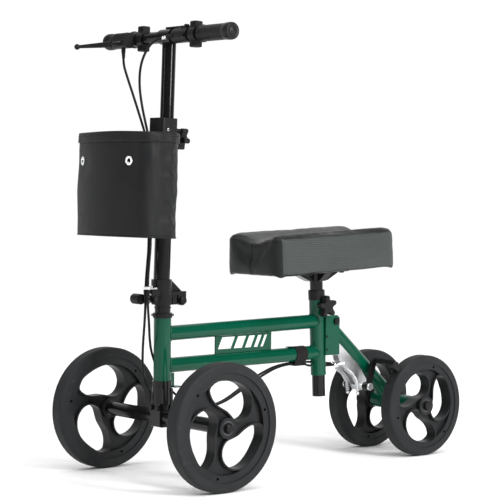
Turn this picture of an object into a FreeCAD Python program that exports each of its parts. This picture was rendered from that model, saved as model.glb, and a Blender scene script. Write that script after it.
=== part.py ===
"""Steerable knee scooter with a folding stem, a height-adjustable bar and knee pad, and two rear brakes.

Millimetres. +Z is up, the front is -Y, and the rider's left is +X. The model is laid out with Y = 0 at the
front axle, and every part is moved by ORIGIN_Y when it is saved, so that the origin is the middle of the
footprint, on the ground.
"""
import FreeCAD, Part
import math
import os

V = FreeCAD.Vector
X, Y, Z = V(1, 0, 0), V(0, 1, 0), V(0, 0, 1)

# Driving dimensions
FRONT_R, FRONT_W, FRONT_X = 114.5, 30.5, 175.3
REAR_R, REAR_W, REAR_X = 100.5, 29.6, 76.0
WHEELBASE = 594.4

FIT = 0.05
GAP = 0.3
BEARING_R, BEARING_W, AXLE_R = 13.0, 8.0, 5.0
HUB_HALF = 16.0

HEAD_R, HEAD_BORE, HEAD_LOW, HEAD_TOP = 16.0, 14.0, 181.0, 296.0
STEERER_R = 12.7
FRAME_R, FRAME_WALL = 13.8, 2.0
UPPER_Z, UPPER_RISE = 266.4, 0.0192
LOWER_Z, LOWER_RISE = 207.9, 0.0118
BEAM_R, BEAM_HALF, CROWN_BOLT_Z = 13.0, 150.0, 132.4

SEAT_TUBE_R, SEAT_BORE = 15.0, 13.3
POST_R = 12.7
SEAT_AT = V(0, 378.1, 316.0)
SEAT_LEAN = 2.55
SEAT_TUBE_LENGTH, POST_BOTTOM = 148.0, -189.8
PAD_WIDTH, PAD_LOW, PAD_TOP = 168.0, 57.0, 135.0
PAD_FRONT, PAD_REAR, PAD_CORNER = -166.0, 147.0, 24.0

STEM_AT = V(0, -3.0, 355.0)
STEM_LEAN = -1.8
STEM_R, STEM_BORE, STEM_TOP = 15.0, 13.2, 296.0
BAR_UP, BAR_FORWARD, BAR_R, BAR_HALF = 451.0, -3.0, 11.1, 183.0
GRIP_IN, GRIP_OUT, GRIP_R = 100.0, 186.0, 15.2
CLAMP_LEFT, CLAMP_RIGHT = 81.5, -74.0

FOLD_Y, FOLD_Z = 32.0, 327.0
FOLD_SPLIT = 337.0
LATCH_Y, LATCH_Z = -26.5, 331.0

BAG_HALF, BAG_REAR, BAG_FACE, BAG_LOW, BAG_HIGH = 110.0, -37.0, -140.5, 88.0, 270.0
BAG_REAR_CORNER, BAG_FRONT_CORNER, BAG_FACE_R, BAG_WALL = 38.0, 34.0, 300.0, 2.5
EYELET_X, EYELET_UP, EYELET_R = 70.0, 220.0, 8.0

REAR_TUBE_R = 15.0
REAR_TUBE_TOP = V(0, 414.0, 258.6)
REAR_AXLE = V(0, WHEELBASE, REAR_R)
BRAKE_PIVOT = V(0, 492.0, 140.0)
CABLE_R = 2.3

# The bag's lower front edge reaches furthest forward, and the rear tyres furthest back.
FRONT_REACH = (STEM_AT.y + BAG_FACE * math.cos(math.radians(STEM_LEAN))
               - BAG_LOW * math.sin(math.radians(STEM_LEAN)))
ORIGIN_Y = -(WHEELBASE + REAR_R + FRONT_REACH) / 2


# Solid helpers
def cyl(a, b, r):
    return Part.makeCylinder(r, (b - a).Length, a, b - a)


def ring(a, b, outer, inner):
    d = (b - a).normalize()
    return cyl(a, b, outer).cut(cyl(a - d, b + d, inner))


def box(x0, x1, y0, y1, z0, z1):
    return Part.makeBox(x1 - x0, y1 - y0, z1 - z0, V(x0, y0, z0))


def prism(points, direction):
    return Part.Face(Part.makePolygon(points + [points[0]])).extrude(direction)


def x_prism(yz, x0, x1):
    return prism([V(x0, y, z) for y, z in yz], V(x1 - x0, 0, 0))


def fuse(first, *others):
    return first.fuse(list(others)).removeSplitter()


def cut(shape, *tools):
    return shape.cut(list(tools))


def hexagon(at, axis, across, height):
    """Hexagonal bolt head or nut standing on the point at, along the axis."""
    axis = V(axis).normalize()
    side = axis.cross(X if abs(axis.x) < 0.9 else Z).normalize()
    other = axis.cross(side)
    r = across / math.sqrt(3)
    corners = [at + side * (r * math.cos(a)) + other * (r * math.sin(a))
               for a in (math.radians(60 * k + 30) for k in range(6))]
    return prism(corners, axis * height)


def domed(at, axis, r, height):
    """Round head with a rounded rim."""
    head = cyl(at, at + V(axis).normalize() * height, r)
    rim = [e for e in head.Edges if abs((e.CenterOfMass - at).dot(V(axis).normalize()) - height) < 0.01]
    return head.makeFillet(height * 0.45, [e for e in rim if e.Length > r])


def bolt(a, b, r, head_r, head_h, nut_h=0.0):
    """Bolt whose shank runs from a to b, with a head beyond a and a nut beyond b."""
    d = (b - a).normalize()
    parts = [cyl(a, b + d * nut_h, r), hexagon(a - d * head_h, d, head_r * 1.75, head_h)]
    if nut_h:
        parts.append(hexagon(b, d, head_r * 1.7, nut_h))
    return fuse(*parts)


def cable(name, points, r):
    """Tube along straight runs joined by tangent arcs, each as large as its runs allow."""
    p = [V(*q) for q in points]
    edges, radii, at = [], [], p[0]
    for before, here, after in zip(p, p[1:], p[2:]):
        u, w = (here - before), (after - here)
        short = min(u.Length, w.Length)
        u.normalize()
        w.normalize()
        turn = u.getAngle(w)
        reach = 0.45 * short
        radii.append(reach / math.tan(turn / 2))
        start, end = here - u * reach, here + w * reach
        middle = here + (w - u).normalize() * (radii[-1] * (1 / math.cos(turn / 2) - 1))
        edges += [Part.LineSegment(at, start).toShape(), Part.Arc(start, middle, end).toShape()]
        at = end
    edges.append(Part.LineSegment(at, p[-1]).toShape())
    wire = Part.Wire(edges)
    profile = Part.Wire(Part.makeCircle(r, p[0], p[1] - p[0]))
    tube = wire.makePipeShell([profile], True, False)
    print(name, "length", round(wire.Length, 1), "least radius", round(min(radii), 1),
          "volume ratio", round(tube.Volume / (math.pi * r * r * wire.Length), 4))
    return tube


def mirror_x(shape):
    return shape.mirror(V(0, 0, 0), X)


def both(shape):
    return [shape, mirror_x(shape)]


def stemmed(shape):
    """From the stem's own upright frame, with its origin at the stem's foot, to the leaning stem."""
    return placed(shape, STEM_AT, STEM_LEAN)


def seated(shape):
    """From the seat tube's own upright frame, with its origin at the tube's mouth, to the leaning tube."""
    return placed(shape, SEAT_AT, SEAT_LEAN)


def placed(shape, at, lean):
    moved = shape.copy()
    moved.rotate(V(0, 0, 0), X, lean)
    moved.translate(at)
    return moved


def save(node, *shapes):
    solids = [s for shape in shapes for s in shape.Solids]
    for s in solids:
        if not s.isValid() or s.Volume <= 0:
            raise ValueError(f"{node} has a bad solid")
    whole = solids[0] if len(solids) == 1 else Part.makeCompound(solids)
    whole = whole.copy()
    whole.translate(V(0, ORIGIN_Y, 0))
    whole.exportStep(f"parts/{node}.step")


# Wheels
OPENING = [(0.30, 0.585), (0.218, 0.335), (0.235, 0.08), (0.215, -0.09), (0.37, -0.235),
           (0.60, -0.15), (0.685, 0.08), (0.58, 0.39), (0.385, 0.595)]


def opening_wire(radius, phase, grow):
    """Comma-shaped opening of a wheel, its narrow tail first going clockwise seen from +X, grown all round."""
    curve = Part.BSplineCurve()
    curve.interpolate([V(0, u * radius, v * radius) for u, v in OPENING], True)
    first, last = curve.FirstParameter, curve.LastParameter
    outer = []
    for k in range(18):
        t = first + (last - first) * k / 18
        outer.append(curve.value(t) + X.cross(V(*curve.tangent(t)[0])) * -grow)
    curve = Part.BSplineCurve()
    curve.interpolate(outer, True)
    wire = Part.Wire(curve.toShape())
    wire.rotate(V(0, 0, 0), X, -phase)
    return wire


def wheel(radius, band, phase):
    """Moulded wheel: hub, web with three openings and raised lips, rim and drain holes."""
    seat = radius - band
    rim = ring(V(-13, 0, 0), V(13, 0, 0), seat, 0.725 * radius)
    web = cyl(V(-5.5, 0, 0), V(5.5, 0, 0), 0.735 * radius)
    hub = cyl(V(-HUB_HALF, 0, 0), V(HUB_HALF, 0, 0), BEARING_R + 5.5)
    lip_limit = cyl(V(-12, 0, 0), V(12, 0, 0), 0.735 * radius)
    lips, holes = [], [cyl(V(-20, 0, 0), V(20, 0, 0), BEARING_R + FIT)]
    for k in range(3):
        at = phase + 120 * k
        lip = Part.Face(opening_wire(radius, at, 5.5))
        lip.translate(V(-12, 0, 0))
        lips.append(lip.extrude(V(24, 0, 0)).common(lip_limit))
        hole = Part.Face(opening_wire(radius, at, 2.6))
        hole.translate(V(-20, 0, 0))
        holes.append(hole.extrude(V(40, 0, 0)))
        a = math.radians(at + 8)
        drain = V(0, 0.785 * radius * math.sin(a), 0.785 * radius * math.cos(a))
        holes.append(cyl(drain - X * 20, drain + X * 20, 2.6))
    return cut(rim.fuse([web, hub] + lips), *holes)


def tyre(radius, width, band):
    outline = ring(V(-width / 2, 0, 0), V(width / 2, 0, 0), radius, radius - band)
    shoulders = [e for e in outline.Edges if abs(e.Length - 2 * math.pi * radius) < 0.1]
    return outline.makeFillet(6.0, shoulders)


def wheel_set(prefix, radius, width, x, centre, phases):
    band = 0.155 * radius
    for side, sign in (("left", 1), ("right", -1)):
        at = V(sign * x, centre.y, centre.z)
        body = wheel(radius, band, phases[side])
        body.translate(at)
        save(f"{prefix}_wheel_{side}", body)
        rubber = tyre(radius, width, band)
        rubber.translate(at)
        save(f"{prefix}_tyre_{side}", rubber)


def axle_bearings(x, centre):
    """Two ball bearings in each hub, shown as closed rings, with the sleeve between them."""
    rings = []
    for edge in (x - HUB_HALF + 0.5, x + HUB_HALF - 0.5 - BEARING_W):
        a = V(edge, centre.y, centre.z)
        rings.append(ring(a, a + X * BEARING_W, BEARING_R, AXLE_R))
    a = V(x - HUB_HALF + 0.5 + BEARING_W, centre.y, centre.z)
    rings.append(ring(a, a + X * (2 * HUB_HALF - 1 - 2 * BEARING_W), 8.0, AXLE_R))
    return [b for r in rings for b in both(r)]


def axle_bolts(x, centre, inner, beam_end):
    """Axle bolt with its washer outside the hub and a spacer between the hub and the beam's end."""
    a = V(inner, centre.y, centre.z)
    out = V(x + HUB_HALF - 0.5, centre.y, centre.z)
    shank = cyl(a, out + X * 5.5, AXLE_R)
    washer = ring(out, out + X * 1.2, 10.5, AXLE_R)
    head = domed(out + X * 1.2, X, 8.2, 5.6)
    spacer = ring(V(beam_end, centre.y, centre.z), V(x - HUB_HALF + 0.5, centre.y, centre.z), 8.0, AXLE_R)
    return both(fuse(shank, head)) + both(washer) + both(spacer)


# Frame
def tube_path(z, rise, y):
    return V(0, y, z + rise * y)


def seat_axis(z):
    """Point on the leaning seat tube's axis, z above its mouth."""
    a = math.radians(SEAT_LEAN)
    return SEAT_AT + V(0, -math.sin(a) * z, math.cos(a) * z)


def frame_tubes():
    head = ring(V(0, 0, HEAD_LOW), V(0, 0, HEAD_TOP), HEAD_R, HEAD_BORE)
    tab = fuse(box(-1.5, 1.5, 15.5, 27, 181, 193.5), box(-9, 9, 22.4, 40, 167, 169.5),
               box(-1.5, 1.5, 22, 27, 168, 190))
    save("head_tube", fuse(head, cut(tab, cyl(V(0, 0, 150), V(0, 0, 300), HEAD_R - 0.5))))
    head_core = cyl(V(0, 0, 150), V(0, 0, 320), HEAD_R)
    seat_core = cyl(seat_axis(-160), seat_axis(5), SEAT_TUBE_R)
    cores = {}
    for node, z, rise in (("upper_tube", UPPER_Z, UPPER_RISE), ("lower_tube", LOWER_Z, LOWER_RISE)):
        a, b = tube_path(z, rise, 0), tube_path(z, rise, 380)
        cores[node] = cyl(a, b, FRAME_R)
        pieces = cut(ring(a, b, FRAME_R, FRAME_R - FRAME_WALL), head_core, seat_core).Solids
        save(node, max(pieces, key=lambda s: s.Volume))
    plate = cut(box(-1.5, 1.5, 123.5, 260.7, 212, 268), *cores.values())
    save("name_plate", max(plate.Solids, key=lambda s: s.Volume))
    bottom = seat_axis(-SEAT_TUBE_LENGTH)
    tube = cut(ring(bottom, seat_axis(0), SEAT_TUBE_R, SEAT_BORE), seat_stud_hole())
    save("seat_tube", tube)


def seat_stud_hole():
    return cyl(V(-30, SEAT_KNOB.y, SEAT_KNOB.z), SEAT_KNOB + X * 4, 4.0)


SEAT_KNOB = V(22.0, 380.6, 303.5)


def headset():
    """Pressed cups at both ends of the head tube, and the bearings that the steerer turns in."""
    upper = ring(V(0, 0, HEAD_TOP), V(0, 0, 305), 18.0, STEERER_R + GAP)
    upper = upper.fuse(ring(V(0, 0, 299.5), V(0, 0, 303), 21.0, STEERER_R + GAP))
    upper = upper.fuse(ring(V(0, 0, HEAD_TOP - 6), V(0, 0, HEAD_TOP + 1), HEAD_BORE, STEERER_R + GAP))
    lower = ring(V(0, 0, 172), V(0, 0, HEAD_LOW), 18.0, STEERER_R + GAP)
    lower = lower.fuse(ring(V(0, 0, HEAD_LOW - 1), V(0, 0, HEAD_LOW + 6), HEAD_BORE, STEERER_R + GAP))
    save("headset_cups", upper.removeSplitter(), lower.removeSplitter())
    bearings = [ring(V(0, 0, z), V(0, 0, z + 9), HEAD_BORE, STEERER_R + FIT)
                for z in (HEAD_LOW + 6, HEAD_TOP - 15)]
    save("headset_bearings", *bearings)


def seat_collar():
    """Nylon guide in the seat tube's mouth: a sleeve inside and a head above."""
    sleeve = ring(V(0, 0, -26), V(0, 0, 0), SEAT_BORE, POST_R + FIT)
    head = ring(V(0, 0, 0), V(0, 0, 19), 16.2, POST_R + FIT)
    rim = [e for e in head.Edges if abs(e.CenterOfMass.z - 19) < 0.1 and e.Length > 90]
    collar = seated(sleeve.fuse(head.makeFillet(2.0, rim)).removeSplitter())
    save("seat_collar", cut(collar, seat_stud_hole()))


def rear_frame():
    plate_yz = [(387, 285), (417, 285), (423.5, 280), (423.5, 207), (387, 207)]
    left = x_prism(plate_yz, SEAT_TUBE_R, SEAT_TUBE_R + 3)
    web = x_prism([(394.57, 285), (398.06, 207), (401.0, 207), (397.5, 285)], -SEAT_TUBE_R, SEAT_TUBE_R)
    ahead = x_prism([(380, 295), (380, 195), (401.8, 195), (397.3, 295)], -SEAT_TUBE_R, SEAT_TUBE_R)
    channel = fuse(left, mirror_x(left), web)
    pivot = cyl(V(-30, 414, 273), V(30, 414, 273), 4.0)
    axis = cyl(REAR_TUBE_TOP, REAR_AXLE, REAR_TUBE_R)
    save("rear_bracket", cut(channel, pivot))
    cross = V(54, REAR_AXLE.y, REAR_AXLE.z)
    core = cyl(mirror_x(Part.Vertex(cross)).Point, cross, 16.0)
    hollow = cyl(REAR_TUBE_TOP - (REAR_AXLE - REAR_TUBE_TOP).normalize(), REAR_AXLE, REAR_TUBE_R - FRAME_WALL)
    tube = cut(axis, hollow, core, ahead, pivot)
    save("rear_tube", max(tube.Solids, key=lambda s: s.Volume))
    beam = cut(core, cyl(V(-34, cross.y, cross.z), V(34, cross.y, cross.z), 13.5),
               cyl(V(-60, cross.y, cross.z), V(60, cross.y, cross.z), AXLE_R))
    save("rear_axle_tube", beam)


def frame_bolts():
    """Rear axle bolts, the bracket's cross bolt, its two rivets and the seat collar's set screw."""
    parts = axle_bolts(REAR_X, REAR_AXLE, 36.0, 54.0)
    side = SEAT_TUBE_R + 3
    parts.append(bolt(V(side, 414, 273), V(-side, 414, 273), 4.0, 7.0, 4.0, 5.0))
    for z in (244, 218):
        parts += both(domed(V(side, 390.5, z), X, 2.4, 1.2))
    screw = V(-SEAT_TUBE_R, SEAT_KNOB.y, SEAT_KNOB.z)
    parts.append(domed(screw, V(-1, 0, 0), 4.2, 3.5))
    save("frame_bolts", *parts)


def cable_strap():
    """Hook-and-loop strap round the lower tube and the two cables under it, with its loose end in front."""
    a, b, low = V(0, 316, 0), V(0, 344, 0), LOWER_Z + LOWER_RISE * 316 - FRAME_R
    tube = [cyl(tube_path(LOWER_Z, LOWER_RISE, y0), tube_path(LOWER_Z, LOWER_RISE, y1), r)
            for y0, y1, r in ((a.y, b.y, FRAME_R + 1.6), (a.y - 20, b.y + 20, FRAME_R))]
    band = fuse(tube[0], box(-10.2, 8, a.y, b.y, low - 8.4, low + FRAME_R))
    band = cut(band, box(-8.6, 6.4, a.y - 5, b.y + 5, low - 6.8, low + FRAME_R), tube[1])
    top = low + 2 * FRAME_R
    save("cable_strap", fuse(band, box(-4, 8, 302, 317, top + 0.3, top + 1.6)))


# Fork
def crown_bolt_holes(r):
    return [cyl(V(x, -30, CROWN_BOLT_Z), V(x, 30, CROWN_BOLT_Z), r) for x in (-9.5, 9.5)]


def fork():
    save("steerer", ring(V(0, 0, 143), V(0, 0, FOLD_SPLIT - 0.5), STEERER_R, STEERER_R - 2.6))
    nut = ring(V(0, 0, 305 + GAP), V(0, 0, 320), 14.5, STEERER_R)
    nut = nut.fuse(ring(V(0, 0, 313), V(0, 0, 316), 15.6, STEERER_R)).removeSplitter()
    save("headset_nut", nut)
    neck = cyl(V(0, 0, 138), V(0, 0, 172 - GAP), 18.0)
    block = box(-14.5, 14.5, -16, 16, 97, 140)
    block = block.makeFillet(5.0, [e for e in block.Edges if abs(e.CenterOfMass.z - 97) < 0.1 and
                                   abs(abs(e.CenterOfMass.y) - 16) < 0.1])
    ribs = [box(-18, 18, y - 2.5, y + 2.5, 104, 168) for y in (-9, 9)]
    crown = fuse(neck, block, *ribs)
    beam_hole = cyl(V(-40, 0, FRONT_R), V(40, 0, FRONT_R), BEAM_R)
    crown = cut(crown, beam_hole, cyl(V(0, 0, 143), V(0, 0, 180), STEERER_R), *crown_bolt_holes(3.0))
    save("fork_crown", crown)
    beam = cyl(V(-BEAM_HALF, 0, FRONT_R), V(BEAM_HALF, 0, FRONT_R), BEAM_R)
    bore = cyl(V(-BEAM_HALF + 22, 0, FRONT_R), V(BEAM_HALF - 22, 0, FRONT_R), BEAM_R - 2.5)
    bolts = cyl(V(-BEAM_HALF - 5, 0, FRONT_R), V(BEAM_HALF + 5, 0, FRONT_R), AXLE_R)
    save("front_beam", cut(beam, bore, bolts))
    axle = V(0, 0, FRONT_R)
    clamps = [bolt(V(x, -16, CROWN_BOLT_Z), V(x, 16, CROWN_BOLT_Z), 3.0, 5.2, 4.0, 4.5) for x in (-9.5, 9.5)]
    save("front_bolts", *(axle_bolts(FRONT_X, axle, 131.0, BEAM_HALF) + clamps))
    save("front_bearings", *axle_bearings(FRONT_X, axle))


# Folding joint
def fold_ears(x0, x1, radius, top):
    """Hinge lug: round about the fold axis, rising to the top."""
    round_end = cyl(V(x0, FOLD_Y, FOLD_Z), V(x1, FOLD_Y, FOLD_Z), radius)
    return fuse(round_end, box(x0, x1, FOLD_Y - radius, FOLD_Y + radius, FOLD_Z, top))


def folding_joint():
    top = FOLD_SPLIT - GAP
    body = cyl(V(0, 0, 320), V(0, 0, top), 19.0)
    front = box(-11, 11, -16.7, 0, 320, top)
    knuckle = fuse(cyl(V(-8.7, FOLD_Y, FOLD_Z), V(8.7, FOLD_Y, FOLD_Z), 8.0),
                   box(-8.7, 8.7, 5, FOLD_Y, FOLD_Z - 7, FOLD_Z + 7))
    lower = fuse(body, front, box(-15, 15, 0, 21.5, 320, top), knuckle)
    pin_hole = cyl(V(-30, FOLD_Y, FOLD_Z), V(30, FOLD_Y, FOLD_Z), 4.0)
    lower = cut(lower, cyl(V(0, 0, 315), V(0, 0, FOLD_SPLIT - 0.5), STEERER_R), pin_hole)
    save("fold_block_lower", lower)
    pin = fuse(cyl(V(-20, FOLD_Y, FOLD_Z), V(20, FOLD_Y, FOLD_Z), 4.0),
               domed(V(17.8, FOLD_Y, FOLD_Z), X, 7.0, 5.0),
               hexagon(V(-17.8 - 5, FOLD_Y, FOLD_Z), X, 12.0, 5.0))
    save("fold_pin", pin)

    socket = cyl(V(0, -3, FOLD_SPLIT), V(0, -3, 366), 19.0)
    deck = box(-17, 17, -3, FOLD_Y + 9, FOLD_SPLIT, 344)
    gusset = x_prism([(12, 343), (40, 343), (30, 352), (15, 365), (12, 365)], -5, 5)
    ears = [fold_ears(x0, x1, 9.0, FOLD_SPLIT + 3) for x0, x1 in ((9.0, 17.0), (-17.0, -9.0))]
    lug = box(-9, 9, -34, -8, 341, 349)
    cheeks = [x_prism([(-34, 349), (-8, 349), (-8, 337.5), (-19.5, 337.5), (-20, 322), (-33, 322)], x0, x1)
              for x0, x1 in ((10.3, 13.0), (-13.0, -10.3))]
    wings = [box(x0, x1, -34, -8, 341, 349) for x0, x1 in ((8, 13.0), (-13.0, -8))]
    upper = fuse(socket, deck, gusset, lug, *(ears + cheeks + wings))
    stem_core = stemmed(cyl(V(0, 0, -9), V(0, 0, 40), STEM_R))
    barrel = cyl(V(-30, LATCH_Y, LATCH_Z), V(30, LATCH_Y, LATCH_Z), 3.0)
    bolt_hole = cyl(V(0, LATCH_Y, 330), V(0, LATCH_Y, 360), 3.0)
    upper = cut(upper, stem_core, cyl(V(-30, FOLD_Y, FOLD_Z), V(30, FOLD_Y, FOLD_Z), 4.0 + FIT), barrel, bolt_hole)
    save("fold_block_upper", upper)


def latch():
    """Cam lever of the fold: chrome barrel in front, an arm and a round handle at its right end."""
    barrel = cyl(V(-10, LATCH_Y, LATCH_Z), V(10, LATCH_Y, LATCH_Z), 7.0)
    hub = cyl(V(-17, LATCH_Y, LATCH_Z), V(-13 - GAP, LATCH_Y, LATCH_Z), 8.0)
    handle_y = LATCH_Y - 12
    handle = cyl(V(-36, handle_y, LATCH_Z - 1), V(-17, handle_y, LATCH_Z - 1), 9.5)
    handle = handle.makeFillet(1.5, handle.Edges)
    arm = fuse(cyl(V(-17, handle_y, LATCH_Z - 1), V(-13 - GAP, handle_y, LATCH_Z - 1), 9.5),
               box(-17, -13 - GAP, handle_y, LATCH_Y, LATCH_Z - 8, LATCH_Z + 7))
    spindle = cyl(V(-15, LATCH_Y, LATCH_Z), V(15.5, LATCH_Y, LATCH_Z), 3.0 - FIT)
    cap = domed(V(13 + GAP, LATCH_Y, LATCH_Z), X, 5.5, 3.5)
    eye_hole = cyl(V(-3.3, LATCH_Y, LATCH_Z), V(3.3, LATCH_Y, LATCH_Z), 7.5).cut(
        cyl(V(-4, LATCH_Y, LATCH_Z), V(4, LATCH_Y, LATCH_Z), 3.0 - FIT))
    save("fold_lever", fuse(cut(barrel, eye_hole), hub, handle, arm, spindle, cap))


def stem_bolts():
    """Eye bolt of the latch with its nut, the chrome cable guide and the collar's clamp screws."""
    eye = ring(V(-3, LATCH_Y, LATCH_Z), V(3, LATCH_Y, LATCH_Z), 6.8, 3.0)
    shank = cyl(V(0, LATCH_Y, LATCH_Z + 5), V(0, LATCH_Y, 355), 3.0)
    nut = hexagon(V(0, LATCH_Y, 349), Z, 8.6, 5.5)
    at = V(6.2, -41.2, 349)
    guide = ring(at, at + Z * 5, 8.4, 6.7)
    foot = fuse(box(8.2, 11.8, -37, -21.2, 349, 350.6), domed(V(10, -24.2, 350.6), Z, 1.8, 1.2))
    foot = cut(foot, cyl(at - Z * 5, at + Z * 10, 7.5))
    screws = [stemmed(domed(V(s * 20.5, -12, 282), V(s, 0, 0), 3.0, 1.6)) for s in (1, -1)]
    save("stem_bolts", fuse(cut(eye.fuse(shank), cyl(V(-4, LATCH_Y, LATCH_Z), V(4, LATCH_Y, LATCH_Z), 3.0)), nut),
         fuse(guide, foot), *screws)


# Stem
def stem():
    save("lower_stem", stemmed(ring(V(0, 0, -9), V(0, 0, STEM_TOP), STEM_R, STEM_BORE)))
    save("stem_bushing", stemmed(ring(V(0, 0, STEM_TOP - 60), V(0, 0, STEM_TOP), STEM_BORE, POST_R + FIT)))
    block = box(-20.5, 20.5, -26.5, 12, 252, 303)
    block = block.makeFillet(7.0, [e for e in block.Edges if e.Length > 50])
    boss = cyl(V(0, 8, 269), V(0, 25, 269), 9.0)
    hanger = box(0, 16, BAG_REAR, -24, 258, 270)
    collar = fuse(block, boss, hanger)
    collar = cut(collar, cyl(V(0, 0, 200), V(0, 0, STEM_TOP), STEM_R), cyl(V(0, 0, 200), V(0, 0, 320), POST_R + GAP),
                 cyl(V(0, 0, 269), V(0, 40, 269), 4.0 + FIT))
    save("stem_collar", stemmed(collar))


def bag_outline(inset, z):
    """D-shaped plan: flat back, gently bowed front, rounded corners."""
    half, rear, face = BAG_HALF - inset, BAG_REAR - inset, BAG_FACE + inset
    rb, rf, big = BAG_REAR_CORNER - inset, BAG_FRONT_CORNER - inset, BAG_FACE_R - inset
    centre = face + big
    cx = half - rf
    cy = centre - math.sqrt((big - rf) ** 2 - cx ** 2)
    lean = math.atan2(cx, centre - cy)
    d = math.sqrt(0.5)
    tangent = (cx + rf * math.sin(lean), cy - rf * math.cos(lean))
    mid = math.pi / 4 - lean / 2

    def arc(a, b, c):
        return Part.Arc(V(a[0], a[1], z), V(b[0], b[1], z), V(c[0], c[1], z)).toShape()

    def line(a, b):
        return Part.LineSegment(V(a[0], a[1], z), V(b[0], b[1], z)).toShape()

    corner = (cx + rf * math.cos(mid), cy - rf * math.sin(mid))
    back = (half - rb * (1 - d), rear - rb * (1 - d))
    edges = [
        line((-half + rb, rear), (half - rb, rear)),
        arc((half - rb, rear), back, (half, rear - rb)),
        line((half, rear - rb), (half, cy)),
        arc((half, cy), corner, tangent),
        arc(tangent, (0, face), (-tangent[0], tangent[1])),
        arc((-tangent[0], tangent[1]), (-corner[0], corner[1]), (-half, cy)),
        line((-half, cy), (-half, rear - rb)),
        arc((-half, rear - rb), (-back[0], back[1]), (-half + rb, rear)),
    ]
    return Part.Wire(edges)


def bag():
    height = BAG_HIGH - BAG_LOW
    outer = Part.Face(bag_outline(0, BAG_LOW)).extrude(V(0, 0, height))
    inner = Part.Face(bag_outline(BAG_WALL, BAG_LOW + 3)).extrude(V(0, 0, height))
    eyelets, holes = [], []
    for sign in (1, -1):
        lean = math.asin(EYELET_X / BAG_FACE_R)
        out = V(sign * math.sin(lean), -math.cos(lean), 0)
        wall = V(sign * EYELET_X, BAG_FACE + BAG_FACE_R * (1 - math.cos(lean)), EYELET_UP)
        holes.append(cyl(wall - out * 10, wall + out * 10, EYELET_R - 3))
        barrel = ring(wall - out * (BAG_WALL + 0.2), wall + out * 0.2, EYELET_R - 3, EYELET_R - 4)
        flanges = [ring(wall + out * 0.15, wall + out * 1.2, EYELET_R, EYELET_R - 4),
                   ring(wall - out * (BAG_WALL + 1.2), wall - out * (BAG_WALL + 0.15), EYELET_R, EYELET_R - 4)]
        eyelets.append(stemmed(fuse(barrel, *flanges)))
    save("bag", stemmed(cut(outer, inner, *holes)))
    save("bag_eyelets", *eyelets)


# Handlebar
BAR = V(0, BAR_FORWARD, BAR_UP)


def around_bar(x0, x1, outer, inner=BAR_R):
    return ring(BAR + X * x0, BAR + X * x1, outer, inner)


def near_bar(x0, x1, y0, y1, z0, z1):
    return box(x0, x1, BAR.y + y0, BAR.y + y1, BAR.z + z0, BAR.z + z1)


def bar_clamp(x):
    """Ring clamp with a pair of screw ears above and below the bar."""
    half = 8.0
    shell = cyl(BAR + X * (x - half), BAR + X * (x + half), 14.5)
    ears = [near_bar(x - half, x + half, -8, 8, 10, 23.5), near_bar(x - half, x + half, -8, 8, -23.5, -10)]
    ears = [e.makeFillet(2.5, [g for g in e.Edges if g.Length > 15.9]) for e in ears]
    screws = [cyl(V(x, BAR.y - 9.5, BAR.z + z), V(x, BAR.y + 9.5, BAR.z + z), 3.2) for z in (18.5, -18.5)]
    return cut(fuse(shell, *(ears + screws)), cyl(BAR + X * (x - 20), BAR + X * (x + 20), BAR_R))


LEVER_PIVOT = V(-100.0, BAR_FORWARD - 26.0, BAR_UP - 9.0)
PARKING_PIVOT = V(54.0, BAR_FORWARD, BAR_UP + 14.0)
BARREL = (BAR + V(28, -12, -1), BAR + V(18, -18.5, -3))


def handlebar():
    post = ring(V(0, 0, 170), V(0, 0, BAR_UP - 4), POST_R, POST_R - 2)
    sleeve = around_bar(-17, 17, 14.0)
    post = post.cut(cyl(BAR - X * 20, BAR + X * 20, 14.0))
    save("upper_stem", stemmed(fuse(post, sleeve)))
    save("handlebar", stemmed(around_bar(-BAR_HALF, BAR_HALF, BAR_R, BAR_R - 2)))
    grip = around_bar(GRIP_IN, BAR_HALF, GRIP_R)
    grip = grip.makeFillet(1.5, [e for e in grip.Edges if abs(e.CenterOfMass.x - GRIP_IN) < 0.1 and
                                 e.Length > 90])
    cap = domed(BAR + X * BAR_HALF, X, GRIP_R, GRIP_OUT - BAR_HALF)
    save("grips", *[stemmed(s) for part in (grip, cap) for s in both(part)])
    save("bar_clamps", *[stemmed(bar_clamp(x)) for x in (CLAMP_LEFT, CLAMP_RIGHT)])
    brake_lever()
    parking_lever()


def brake_lever():
    p = LEVER_PIVOT
    band = around_bar(-98.5, -84, 14.5)
    shell = box(-120, -84, p.y - 9, BAR.y - GRIP_R - 1, p.z - 9, p.z + 19)
    shell = shell.makeFillet(5.0, [e for e in shell.Edges if e.Length > 30])
    bridge = near_bar(-98.5, -84, -18, -8, -12, 6)
    mouth = box(-130, -92, p.y - 12, BAR.y - GRIP_R - 3, p.z - 5.4, p.z + 3.6)
    barrel = cyl(V(-98, p.y - 2, p.z - 8), V(-98, p.y - 2, p.z - 17), 4.0)
    pin = cyl(p - Z * 9, p + Z * 9, 3.0)
    housing = fuse(cut(fuse(band, shell, bridge), mouth), pin, barrel)
    save("brake_housing", stemmed(cut(housing, cyl(BAR - X * 120, BAR - X * 80, BAR_R),
                                      cyl(V(-98, p.y - 2, p.z - 30), V(-98, p.y - 2, p.z - 14), CABLE_R + FIT))))
    tip = V(-183.0, BAR.y - 73.0, BAR.z - 15.0)
    along = (tip - p).normalize()
    blade = fuse(cyl(p - Z * 3, p + Z * 3, 6.5), cyl(p, tip, 2.9),
                 cyl(p + along * 26 + Z * 3, tip, 2.9), cyl(p + along * 26 - Z * 3, tip, 2.9),
                 Part.makeSphere(5.5, tip))
    blade = cut(blade, cyl(p - Z * 12, p + Z * 12, 3.0 + FIT))
    save("brake_lever", stemmed(blade))


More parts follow.
